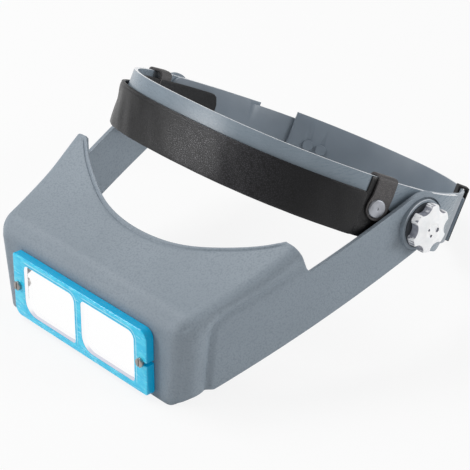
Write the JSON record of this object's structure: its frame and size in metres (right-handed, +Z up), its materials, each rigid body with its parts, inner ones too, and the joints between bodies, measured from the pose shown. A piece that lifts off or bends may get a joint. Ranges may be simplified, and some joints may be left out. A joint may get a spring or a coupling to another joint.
{
  "type": "headband magnifier",
  "caption": "Moulded eye-level visor with an exchangeable twin-lens plate, hinged by clamping star knobs to an adjustable head ring with a soft comfort band.",
  "frame": {"origin": "centre of the bounding box in plan, on the table the part rests on", "axes": "+Z up, -Y towards the lens plate, +X to the right as seen from the front"},
  "size_m": [0.2084, 0.2448, 0.1172],
  "materials": {
    "visor_plastic": "fine pebble grain, matt",
    "band_plastic": "satin",
    "strap_plastic": "satin",
    "plate_acrylic": "clear tinted, polished",
    "lens_clear": "polished",
    "screw_steel": "turned",
    "leather": "fine grain, low sheen",
    "snap_steel": "satin",
    "bolt_steel": "plain",
    "spacer_plastic": "matt",
    "washer_rubber": "matt",
    "knob_plastic": "glossy",
    "insert_brass": "turned",
    "keeper_plastic": "matt"
  },
  "bodies": {
    "headband": {"front_band": "band_plastic", "left_strap": "strap_plastic", "right_strap": "strap_plastic", "size_studs": "strap_plastic", "comfort_band": "leather", "snap_caps": "snap_steel", "snap_posts": "snap_steel", "left_pivot_bolt": "bolt_steel", "right_pivot_bolt": "bolt_steel", "left_spacer": "spacer_plastic", "right_spacer": "spacer_plastic"},
    "visor": {"visor": "visor_plastic", "lens_plate": "plate_acrylic", "left_lens": "lens_clear", "right_lens": "lens_clear", "plate_screws": "screw_steel", "plate_nuts": "screw_steel", "left_clamp_washer": "washer_rubber", "right_clamp_washer": "washer_rubber"},
    "left_knob": {"left_knob": "knob_plastic", "left_knob_insert": "insert_brass"},
    "right_knob": {"right_knob": "knob_plastic", "right_knob_insert": "insert_brass"},
    "strap_keeper": {"strap_keeper": "keeper_plastic"}
  },
  "joints": [
    {"name": "visor_tilt", "type": "hinge", "parent": "headband", "child": "visor", "pos_m": [0, 0.01897, 0.0625], "axis": [-1, 0, 0], "range_deg": [-12, 100]},
    {"name": "left_knob_turn", "type": "hinge", "parent": "headband", "child": "left_knob", "pos_m": [-0.0998, 0.01897, 0.0625], "axis": [-1, 0, 0], "continuous": true},
    {"name": "right_knob_turn", "type": "hinge", "parent": "headband", "child": "right_knob", "pos_m": [0.0998, 0.01897, 0.0625], "axis": [1, 0, 0], "continuous": true},
    {"name": "keeper_slide", "type": "hinge", "parent": "headband", "child": "strap_keeper", "pos_m": [-0.03851, 0.00667, 0.06936], "axis": [0, 0.487, 0.8734], "range_deg": [-3, 3]}
  ]
}
